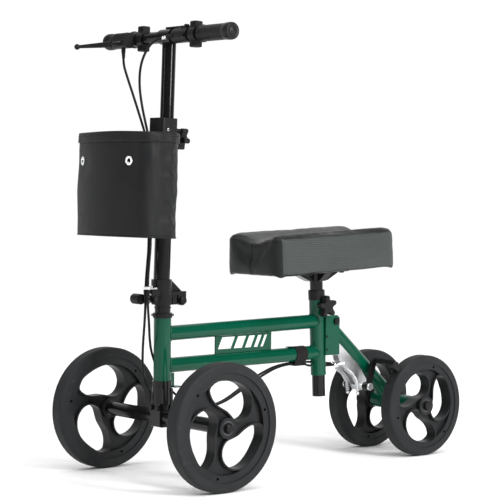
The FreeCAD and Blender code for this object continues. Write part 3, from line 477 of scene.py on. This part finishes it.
def make_cables(materials):
    """Each cable in three lengths, each of which runs between two bodies and meets the next on one of them; the
    lengths stay where they are built, and only the end ferrules ride on the bar and the frame.
    """
    bends = [
        ("bar", "stem", Vector((0, AXLE_Y, 0.770)), Vector((0, AXLE_Y, 0.655)), ["cables_bar"]),
        ("stem", "fork", Vector((0, AXLE_Y, 0.360)), Vector((0, AXLE_Y, 0.268)), ["cables_stem"]),
        ("fork", "frame", Vector((0, AXLE_Y - 0.04, 0.245)), Vector((0, AXLE_Y + 0.09, 0.125)),
         ["cables_steer", "cables_frame"]),
    ]
    for side, route in (("right", RIGHT_CABLE), ("left", LEFT_CABLE)):
        line = smooth_line(f"cable_{side}_line", route)
        cuts = [0, *(next(k for k, p in enumerate(line) if p.z < up) for up in JOIN_UPS), len(line) - 1]
        for first, last, (a, b, start, end, nodes) in zip(cuts, cuts[1:], bends):
            stretch = line[first:last + 1]
            bm = bmesh.new()
            tube(bm, stretch, [CABLE_R] * len(stretch), 14)
            made = piece(f"cable_{side}_{a}_{b}", bm, None, "cable_sheath", materials["cable_sheath"])
            for node in nodes:
                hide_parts(node)
            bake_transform(made)
        ends = ((line[0], line[6], "bar"), (line[-1], line[-8], "frame"))
        for number, (end, inner, body) in enumerate(ends, 1):
            bm = bmesh.new()
            along = (inner - end).normalized()
            turned(bm, end - along * 0.001, along, FERRULE, 24)
            finish = "black_steel" if side == "right" and body == "bar" else "chrome_steel"
            piece(f"ferrule_{side}_{number}", bm, body, finish, materials[finish])


# Knee pad
PAD_HALF_WIDTH, PAD_HALF_LENGTH, PAD_HALF_HEIGHT = 0.084, 0.1565, 0.039
PAD_MIDDLE = Vector((0, -0.0095, 0.096))
PAD_CORNER, PAD_TOP_EDGE, PAD_LOW_EDGE = 0.022, 0.007, 0.005
CHANNEL_WIDTH, CHANNEL_DEPTH = 0.140, 0.0125
# Below the cover's top: the seam round it
SEAM_DROP = 0.0065
STITCH_PITCH, STITCH_LENGTH, STITCH_R = 0.0052, 0.0030, 0.00032


def pad_shape(p, inset):
    """From a box of half sizes 1 to the stuffed block: round upright corners and a shallow channel on top."""
    edge = PAD_TOP_EDGE if p.z > 0 else PAD_LOW_EDGE
    rim = edge - (1 - abs(p.z)) * PAD_HALF_HEIGHT
    shrink = edge - math.sqrt(edge ** 2 - max(0.0, rim) ** 2)
    half_x, half_y = PAD_HALF_WIDTH - inset - shrink, PAD_HALF_LENGTH - inset - shrink
    x, y, z = p.x * half_x, p.y * half_y, p.z * (PAD_HALF_HEIGHT - inset * 0.6)
    inner_x = max(-half_x + PAD_CORNER, min(half_x - PAD_CORNER, x))
    inner_y = max(-half_y + PAD_CORNER, min(half_y - PAD_CORNER, y))
    out = Vector((x - inner_x, y - inner_y))
    if out.length > PAD_CORNER:
        out = out.normalized() * PAD_CORNER
    x, y = inner_x + out.x, inner_y + out.y
    share = (p.z + 1) / 2
    if abs(x) < CHANNEL_WIDTH / 2:
        z -= CHANNEL_DEPTH * math.cos(math.pi * x / CHANNEL_WIDTH) ** 2 * share ** 3
    return Vector((x, y, z))


def make_pad(materials):
    """The cover: an even mesh of the block, blown up a little, then fine enough for its seams."""
    bm = bmesh.new()
    bmesh.ops.create_cube(bm, size=2)
    bmesh.ops.subdivide_edges(bm, edges=bm.edges[:], cuts=30, use_grid_fill=True)
    for v in bm.verts:
        v.co = pad_shape(v.co, 0.0022)
    pad = piece("knee_pad_cover", bm, None, "pad_vinyl", materials["pad_vinyl"], materials["pad_side"])
    remesh = pad.modifiers.new("remesh", "REMESH")
    remesh.mode = "VOXEL"
    remesh.voxel_size = 0.0045
    remesh.use_smooth_shade = True
    relax = pad.modifiers.new("relax", "SMOOTH")
    relax.factor = 0.5
    relax.iterations = 4
    apply_modifiers(pad)
    inflate(pad, 0.0035)
    fine = pad.modifiers.new("fine", "SUBSURF")
    fine.levels = fine.render_levels = 1
    apply_modifiers(pad)
    sew(pad)
    pad.data.transform(SEAT @ Matrix.Translation(PAD_MIDDLE))
    for polygon in pad.data.polygons:
        polygon.use_smooth = True
    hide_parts("knee_pad")
    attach(pad, "seat")
    return pad


def apply_modifiers(made):
    """The object's mesh becomes what its modifiers make of it."""
    bpy.context.view_layer.update()
    graph = bpy.context.evaluated_depsgraph_get()
    mesh = bpy.data.meshes.new_from_object(made.evaluated_get(graph))
    old = made.data
    made.modifiers.clear()
    made.data = mesh
    mesh.name = made.name
    bpy.data.meshes.remove(old)


def inflate(pad, cap, frames=20):
    """Cloth blown up from inside, with its underside held on the plate, and no point moved by more than cap."""
    start = [v.co.copy() for v in pad.data.vertices]
    held = pad.vertex_groups.new(name="held")
    low = min(p.z for p in start)
    held.add([k for k, p in enumerate(start) if p.z < low + 0.004], 1.0, "REPLACE")
    cloth = pad.modifiers.new("cloth", "CLOTH")
    cloth.settings.quality = 5
    cloth.settings.mass = 0.3
    cloth.settings.tension_stiffness = cloth.settings.compression_stiffness = 15
    cloth.settings.bending_stiffness = 1.5
    cloth.settings.use_pressure = True
    cloth.settings.uniform_pressure_force = 4
    cloth.settings.vertex_group_mass = "held"
    cloth.settings.effector_weights.gravity = 0
    cloth.collision_settings.use_collision = False
    scene = bpy.context.scene
    scene.frame_start, scene.frame_end = 1, frames
    for number in range(1, frames + 1):
        scene.frame_set(number)
    graph = bpy.context.evaluated_depsgraph_get()
    blown = pad.evaluated_get(graph).data
    ends = [v.co.copy() for v in blown.vertices]
    pad.modifiers.clear()
    scene.frame_set(1)
    for v, a, b in zip(pad.data.vertices, start, ends):
        move = b - a
        v.co = a + (move if move.length <= cap else move.normalized() * cap)


def sew(pad):
    """Seams, puckers and folded corners pressed into the cover, and the mesh fabric of its long sides."""
    mesh = pad.data
    points = [v.co.copy() for v in mesh.vertices]
    normals = [v.normal.copy() for v in mesh.vertices]
    half_x = max(p.x for p in points)
    half_y = max(p.y for p in points)
    low, high = min(p.z for p in points), max(p.z for p in points)
    rim = high - SEAM_DROP
    for v, p, n in zip(mesh.vertices, points, normals):
        # the seam round the top, then the upright seam at each end with gathers beside it
        groove = 0.0016 * math.exp(-((p.z - rim) / 0.0022) ** 2) * (1 - n.z ** 2)
        if abs(n.y) > 0.4:
            groove += 0.0015 * math.exp(-(p.x / 0.0020) ** 2) * (p.z > low + 0.004) * (p.z < rim)
            gathers = math.sin(p.x * 900) * math.exp(-(p.x / 0.016) ** 2) * math.exp(-((p.z - rim) / 0.009) ** 2)
            groove += 0.0007 * gathers
        # wide and fine creases
        crease = noise.noise(Vector((p.x * 14, p.y * 14, p.z * 40))) * 0.0007
        fine = noise.noise(Vector((p.x * 60, p.y * 60, p.z * 80 + 5))) * 0.0004
        v.co = p - n * (groove + crease + fine)
        # the lower edge: corners pulled down and long sides that hang unevenly
        corner = Vector((abs(p.x) - half_x + 0.010, abs(p.y) - half_y + 0.010))
        if p.z < low + 0.012:
            v.co.z -= 0.0045 * math.exp(-(corner.length / 0.009) ** 2)
            sag = noise.noise(Vector((p.x * 12, p.y * 22, 3.1)))
            v.co.z += 0.0014 * sag * max(0.0, 1 - (p.z - low) / 0.012) * (abs(p.x) > 0.06)
    reach = half_y - 0.014
    for face in mesh.polygons:
        upright = abs(face.normal.x) > 0.72 and abs(face.center.y) < reach
        face.material_index = int(upright and low + 0.004 < face.center.z < rim - 0.002)


def stitches(name, pad, starts, body, material):
    """Short threads laid on the pad where rays from the starts meet it."""
    mesh = pad.data
    tree = bvhtree.BVHTree.FromPolygons([v.co for v in mesh.vertices], [list(f.vertices) for f in mesh.polygons])
    bm = bmesh.new()
    for origin, way, along in starts:
        at, normal, _, _ = tree.ray_cast(origin, way)
        if at is None:
            continue
        along = (along - normal * along.dot(normal)).normalized()
        middle = at + normal * STITCH_R * 0.8
        path = [middle + along * (STITCH_LENGTH * t) - normal * (STITCH_R * 12 * abs(t) ** 3)
                for t in (-0.5, -0.4, -0.2, 0, 0.2, 0.4, 0.5)]
        tube(bm, path, [STITCH_R * s for s in (0.4, 0.8, 1, 1, 1, 0.8, 0.4)], 6)
    return piece(name, bm, body, "pad_vinyl", material)


def pad_stitches(pad, materials):
    """Thread beside the seam round the top, and down the seam at each end."""
    turn = SEAT.to_3x3()
    centre = SEAT @ PAD_MIDDLE
    starts = []
    top_row = PAD_HALF_HEIGHT - SEAM_DROP - 0.003
    end_row = top_row - 0.006
    clear = 0.02
    for sign in (1, -1):
        for k in range(int(2 * (PAD_HALF_LENGTH - clear) / STITCH_PITCH)):
            y = -PAD_HALF_LENGTH + clear + (k + 0.5) * STITCH_PITCH
            starts.append((Vector((sign * 0.15, y, top_row)), Vector((-sign, 0, 0)), Vector((0, 1, 0))))
        for k in range(int(2 * (PAD_HALF_WIDTH - clear) / STITCH_PITCH)):
            x = -PAD_HALF_WIDTH + clear + (k + 0.5) * STITCH_PITCH
            starts.append((Vector((x, sign * 0.25, top_row)), Vector((0, -sign, 0)), Vector((1, 0, 0))))
        for k in range(int(0.058 / STITCH_PITCH)):
            z = end_row - k * STITCH_PITCH
            for x in (-0.0034, 0.0034):
                starts.append((Vector((x, sign * 0.25, z)), Vector((0, -sign, 0)), Vector((0, 0, 1))))
    world = [(centre + turn @ o, turn @ w, turn @ a) for o, w, a in starts]
    stitches("knee_pad_stitches", pad, world, "seat", materials["thread"])


# Carrying bag on the stem
BAG_HALF, BAG_BACK, BAG_FRONT, BAG_LOW, BAG_HIGH = 0.110, -0.037, -0.1405, 0.088, 0.270
BAG_BACK_CORNER, BAG_FRONT_CORNER, BAG_FRONT_R = 0.038, 0.034, 0.300
BAG_WALL, BAG_ROWS = 0.0022, 62
EYELET_X, EYELET_UP, EYELET_HOLE_R = 0.070, 0.220, 0.0045
HEM_LOW = BAG_HIGH - 0.0165
# Heights of the two rows of stitches in the hem
THREAD_UPS = (HEM_LOW + 0.0022, HEM_LOW + 0.0125)


def bag_plan(inset, count=220):
    """Evenly spaced points round the bag, from the middle of its back, with the outward way at each."""
    half, back, front = BAG_HALF - inset, BAG_BACK - inset, BAG_FRONT + inset
    rb, rf, big = BAG_BACK_CORNER - inset, BAG_FRONT_CORNER - inset, BAG_FRONT_R - inset
    centre = front + big
    cx = half - rf
    cy = centre - math.sqrt((big - rf) ** 2 - cx ** 2)
    lean = math.atan2(cx, centre - cy)
    path = [(Vector((x * (half - rb), back)), Vector((0, 1))) for x in (0, 0.25, 0.5, 0.75)]
    for k in range(13):
        a = math.pi / 2 - k / 12 * math.pi / 2
        out = Vector((math.cos(a), math.sin(a)))
        path.append((Vector((half - rb, back - rb)) + out * rb, out))
    for k in range(17):
        a = -k / 16 * (math.pi / 2 - lean)
        out = Vector((math.cos(a), math.sin(a)))
        path.append((Vector((cx, cy)) + out * rf, out))
    for k in range(1, 13):
        a = lean * (1 - k / 12)
        out = Vector((math.sin(a), -math.cos(a)))
        path.append((Vector((0, centre)) + out * big, out))
    mirrored = [(Vector((-p.x, p.y)), Vector((-o.x, o.y))) for p, o in path[-2:0:-1]]
    path += mirrored
    path.append(path[0])
    lengths = [0.0]
    for a, b in zip(path, path[1:]):
        lengths.append(lengths[-1] + (b[0] - a[0]).length)
    even, k = [], 0
    for j in range(count):
        wanted = lengths[-1] * j / count
        while lengths[k + 1] < wanted:
            k += 1
        t = (wanted - lengths[k]) / max(1e-9, lengths[k + 1] - lengths[k])
        even.append((path[k][0].lerp(path[k + 1][0], t), path[k][1].lerp(path[k + 1][1], t).normalized()))
    return even, lengths[-1]


def bag_swell(at, out, up):
    """How far the wall stands out of its plan: full in the middle, slack and creased at the sides."""
    share = (up - BAG_LOW) / (BAG_HIGH - BAG_LOW)
    side = max(0.0, abs(out.x) - 0.35) / 0.65
    # the belly of front and sides, and wide unevenness all round
    swell = 0.0014 * math.sin(math.pi * share) * (out.y < 0.3)
    swell += noise.noise(Vector((at.x * 9, at.y * 9, up * 15))) * 0.0012 * (0.35 + side)
    # folds in the sides
    drape = noise.noise(Vector((at.x * 34, at.y * 42 + up * 12, up * 24 - at.y * 12)))
    fold = noise.noise(Vector((at.x * 70, at.y * 85 + up * 6, up * 9 + 4)))
    swell += (drape * 0.0026 + fold * 0.0013) * side
    # level creases near the rear corners, one every 27 mm
    rear = max(0.0, 1 - abs(at.y - (BAG_BACK - 0.030)) / 0.026) * (abs(out.x) > 0.3)
    swell += 0.0018 * rear * math.sin(up * 2 * math.pi / 0.027 + 1.5 * noise.noise(Vector((0, 0, up * 30))))
    # flat where the eyelets clamp the wall
    eyelet = Vector((abs(at.x) - EYELET_X, up - EYELET_UP)).length
    if out.y < 0:
        swell *= min(1.0, max(0.0, (eyelet - 0.011) / 0.022))
    return swell


def bag_dip(at):
    """How the mouth and its hem rise and fall round the bag."""
    return 0.0006 * math.sin(at.x * 30 + 0.5) + 0.0004 * math.sin(at.y * 60)


def off_plan(at, out, reach, up):
    """The place that stands reach outside a point of the plan, at height up."""
    return Vector((at.x + out.x * reach, at.y + out.y * reach, up))


def bag_piece(name, bm, material):
    """A piece of the bag, built upright, that leans and moves with the stem."""
    bmesh.ops.transform(bm, matrix=STEM, verts=bm.verts)
    return piece(name, bm, "stem", "bag_leather", material)


def make_bag(materials):
    """Wall, bottom panel, hem, bound edge and thread."""
    plan, girth = bag_plan(0)
    wall = bag_wall(materials, plan)
    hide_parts("bag")
    base = bag_base(materials)
    trims = [bag_hem(materials, plan), bag_piping(materials, plan), bag_thread(materials, plan)]


def bag_wall(materials, plan):
    """Two skins that share a mouth and a lower edge, with a hole through both at each eyelet."""
    ups = [BAG_LOW + (BAG_HIGH - BAG_LOW) * k / BAG_ROWS for k in range(BAG_ROWS + 1)]
    bm = bmesh.new()
    outer, inner = [], []
    for up in ups:
        swells = [bag_swell(at, out, up) for at, out in plan]
        dips = [bag_dip(at) for at, _ in plan]
        rise = (up - BAG_LOW) / (BAG_HIGH - BAG_LOW)
        tuck = 0.0012 * max(0.0, 1 - (up - BAG_LOW) / 0.006)
        outer.append([bm.verts.new(off_plan(at, out, swell - tuck, up + dip * rise - 0.001 * (1 - rise)))
                      for (at, out), swell, dip in zip(plan, swells, dips)])
        inner.append([bm.verts.new(off_plan(at, out, swell - BAG_WALL, max(up, BAG_LOW + 0.0025) + dip * rise))
                      for (at, out), swell, dip in zip(plan, swells, dips)])
    for a, b in zip(outer, outer[1:]):
        join(bm, a, b)
    for a, b in zip(inner, inner[1:]):
        join(bm, b, a)
    join(bm, outer[-1], inner[-1])
    join(bm, inner[0], outer[0])
    cut_eyelets(bm)
    return bag_piece("bag_wall", bm, materials["bag_leather"])


def cut_eyelets(bm):
    """Takes both skins away behind the eyelets and closes the rim of each hole."""
    doomed = []
    for face in bm.faces:
        c = face.calc_center_median()
        near = Vector((abs(c.x) - EYELET_X, c.z - EYELET_UP)).length < EYELET_HOLE_R
        if c.y < BAG_FRONT + 0.02 and near:
            doomed.append(face)
    bmesh.ops.delete(bm, geom=doomed, context="FACES")
    rims = [e for e in bm.edges if e.is_boundary]
    bmesh.ops.bridge_loops(bm, edges=[e for e in rims if e.verts[0].co.x > 0])
    bmesh.ops.bridge_loops(bm, edges=[e for e in rims if e.is_valid and e.is_boundary and e.verts[0].co.x < 0])


def bag_base(materials):
    """Stiffened bottom panel, sewn in a little above the wall's lower edge."""
    skins = []
    bm = bmesh.new()
    steps = 14
    plan, _ = bag_plan(0.0026, 110)
    centre = Vector((0, (BAG_BACK + BAG_FRONT) / 2))
    for thick in (0, 0.0018):
        rings = []
        for k in range(steps):
            share = 1 - k / steps
            up = BAG_LOW + 0.0022 + thick - 0.0016 * math.cos(share * math.pi / 2)
            rings.append([bm.verts.new((*(centre + (at - centre) * share), up)) for at, _ in plan])
        middle = bm.verts.new((*centre, BAG_LOW + 0.0006 + thick))
        skins.append((rings, middle))
    for rings, middle in skins:
        for a, b in zip(rings, rings[1:]):
            join(bm, a, b)
        last = rings[-1]
        for j in range(len(last)):
            bm.faces.new((last[j], last[(j + 1) % len(last)], middle))
    join(bm, skins[0][0][0], skins[1][0][0])
    made = bag_piece("bag_base", bm, materials["bag_leather"])
    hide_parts("bag")
    return made


def bag_hem(materials, plan):
    """Folded band round the mouth, on the outside of the wall and over its edge."""
    low = HEM_LOW
    section = [(0.0003, low), (0.0022, low + 0.0006), (0.0026, low + 0.004), (0.0024, low + 0.011),
               (0.0020, BAG_HIGH + 0.0002), (0.0008, BAG_HIGH + 0.0018), (-0.0012, BAG_HIGH + 0.0020),
               (-0.0032, BAG_HIGH + 0.0010), (-0.0038, BAG_HIGH - 0.002), (-0.0036, BAG_HIGH - 0.010),
               (-0.0024, BAG_HIGH - 0.0105)]
    bm = bmesh.new()
    columns = []
    for at, out in plan:
        dip = bag_dip(at)
        column = []
        for reach, up in section:
            swell = bag_swell(at, out, min(up, BAG_HIGH))
            wave = 0.0004 * noise.noise(Vector((at.x * 45, at.y * 45, up * 60)))
            column.append(bm.verts.new(off_plan(at, out, swell + reach + wave, up + dip)))
        columns.append(column)
    for a, b in zip(columns, columns[1:] + columns[:1]):
        for k in range(len(section)):
            n = (k + 1) % len(section)
            bm.faces.new((a[k], b[k], b[n], a[n]))
    made = bag_piece("bag_hem", bm, materials["bag_leather"])
    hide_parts("bag")
    return made


def bag_piping(materials, plan):
    """Bound lower edge, of oval section."""
    bm = bmesh.new()
    turns = [2 * math.pi * j / 10 for j in range(10)]
    rings = []
    for at, out in plan:
        p = off_plan(at, out, bag_swell(at, out, BAG_LOW) - 0.0010, BAG_LOW + 0.0004)
        wide, tall = Vector((out.x, out.y, 0)), Vector((0, 0, 0.0019))
        rings.append([bm.verts.new(p + wide * (0.0017 * math.cos(t)) + tall * math.sin(t)) for t in turns])
    for a, b in zip(rings, rings[1:] + rings[:1]):
        for j in range(len(turns)):
            n = (j + 1) % len(turns)
            bm.faces.new((a[j], b[j], b[n], a[n]))
    made = bag_piece("bag_piping", bm, materials["bag_leather"])
    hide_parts("bag")
    return made


def bag_thread(materials, plan):
    """Two rows of stitches along the hem."""
    bm = bmesh.new()
    for up in THREAD_UPS:
        for (at, out), (after, _) in zip(plan, plan[1:] + plan[:1]):
            a = off_plan(at, out, bag_swell(at, out, up) + 0.0027, up + bag_dip(at))
            along = (Vector((after.x, after.y, 0)) - Vector((at.x, at.y, 0))).normalized()
            tube(bm, [a + along * share for share in (-0.0010, -0.0006, 0.0006, 0.0010)],
                 [0.00012, 0.00030, 0.00030, 0.00012], 6)
    return bag_piece("bag_thread", bm, materials["thread"])


# Grips
def make_grips(materials):
    """Soft sleeves with an inner flange, shallow ribs and a domed end."""
    _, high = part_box("grips")
    bar_low, bar_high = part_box("handlebar")
    at = Vector((0, (bar_low.y + bar_high.y) / 2, (bar_low.z + bar_high.z) / 2))
    inner = 0.100
    length = high.x - inner
    for side, sign in (("left", 1), ("right", -1)):
        profile = [(0, 0.0112), (0, 0.0148), (0.0008, 0.0158), (0.0035, 0.0158), (0.0045, 0.0150)]
        for k in range(12):
            s = 0.0065 + k * 0.0052
            profile += [(s, 0.0146), (s + 0.0006, 0.0141), (s + 0.0018, 0.0141), (s + 0.0024, 0.0146)]
        profile += [(0.0690, 0.0146), (0.0705, 0.0154), (length - 0.0060, 0.0156), (length - 0.0024, 0.0150),
                    (length - 0.0008, 0.0136), (length - 0.0002, 0.0118), (length - 0.0006, 0.0110),
                    (length - 0.0006, 0.0040), (length, 0.0034), (length, 0.0004)]
        bm = bmesh.new()
        turned(bm, at + Vector((sign * inner, 0, 0)), Vector((sign, 0, 0)), profile, 64)
        made = piece(f"grip_{side}", bm, "bar", "grip_rubber", materials["grip_rubber"])
        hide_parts("grips")


# Frame details
LONG_TUBE_R, HEAD_TUBE_R, SEAT_TUBE_R = 0.0138, 0.016, 0.015
WELD_POINTS, WELD_SIDES = 144, 8


def weld(name, points, material):
    """Rippled bead along a closed line, with a ripple every six points."""
    bm = bmesh.new()
    rings = []
    for k, p in enumerate(points):
        along = (points[(k + 1) % len(points)] - points[k - 1]).normalized()
        side = along.orthogonal().normalized()
        radius = 0.0017 + 0.00035 * math.sin(k * 2 * math.pi / 6)
        rings.append(ring(bm, p, side, along.cross(side), radius, WELD_SIDES))
    for a, b in zip(rings, rings[1:] + rings[:1]):
        shift = min(range(WELD_SIDES), key=lambda s: (b[s].co - a[0].co).length)
        join(bm, a, b[shift:] + b[:shift])
    piece(name, bm, "frame", "green_paint", material)


def make_welds(materials):
    """Beads where the two long tubes meet the head tube and the seat tube."""
    r = LONG_TUBE_R
    for node in ("upper_tube", "lower_tube"):
        low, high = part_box(node)
        for end, core, way in (("front", HEAD_TUBE_R, 1), ("rear", SEAT_TUBE_R, -1)):
            points = []
            for k in range(WELD_POINTS):
                a = 2 * math.pi * k / WELD_POINTS
                x, up = r * math.cos(a), r * math.sin(a)
                if end == "front":
                    z = low.z + r + up
                    middle = AXLE_Y
                else:
                    z = high.z - r + up
                    middle = (SEAT @ Vector((0, 0, (z - SEAT_UP) / math.cos(SEAT_LEAN)))).y
                points.append(Vector((x, middle + way * (math.sqrt(core ** 2 - x ** 2) + 0.0004), z)))
            weld(f"weld_{node}_{end}", points, materials["green_paint"])


def make_plate_mark(materials):
    """Plain slanted stripes on both faces of the plate between the tubes."""
    low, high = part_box("name_plate")
    middle = (low.z + high.z) / 2 + 0.002
    length = high.y - low.y
    half, lean = 0.0110, 0.0052
    stripes = [(0.08, 0.30), (0.36, 0.50), (0.56, 0.66), (0.72, 0.78), (0.84, 0.88)]
    for side, sign in (("left", 1), ("right", -1)):
        bm = bmesh.new()
        face = high.x + 0.00005 if sign > 0 else low.x - 0.00005
        for start, end in stripes:
            y0, y1 = low.y + start * length, low.y + end * length
            corners = [(y0 - lean, -half), (y1 - lean, -half), (y1 + lean, half), (y0 + lean, half)]
            inner = [bm.verts.new((face, y, middle + z)) for y, z in corners]
            outer = [bm.verts.new((face + sign * 0.0002, y, middle + z)) for y, z in corners]
            bm.faces.new(outer)
            bm.faces.new(inner[::-1])
            join(bm, inner, outer)
        piece(f"plate_mark_{side}", bm, "frame", "green_paint", materials["decal"], smooth=False)


def extra_materials(materials):
    """Finishes of what Blender adds: thread, the pad's sides and the printed stripes."""
    materials["thread"] = woven("thread", (0.026, 0.026, 0.027), (0.045, 0.045, 0.046), 0.0006, 0.0001)
    materials["pad_side"] = embossed_vinyl("pad_side", (0.066, 0.075, 0.073), (0.034, 0.040, 0.039), 0.46)
    made = Finish("decal", 0.35)
    made.tint([(made.steps(made.cloud(80, 4), 0.5, 0.8), (0.75, 0.76, 0.75))], (0.85, 0.86, 0.85))
    made.bump(made.cloud(500, 2), 0.00005, 0.3)
    materials["decal"] = made.material


def main():
    """Finishes, camera, dressing and light."""
    materials = make_materials()
    extra_materials(materials)
    make_camera()
    make_cables(materials)
    carry_over(materials)
    pad = make_pad(materials)
    pad_stitches(pad, materials)
    make_bag(materials)
    make_grips(materials)
    make_welds(materials)
    make_plate_mark(materials)
    make_studio()
    bpy.context.view_layer.update()


main()
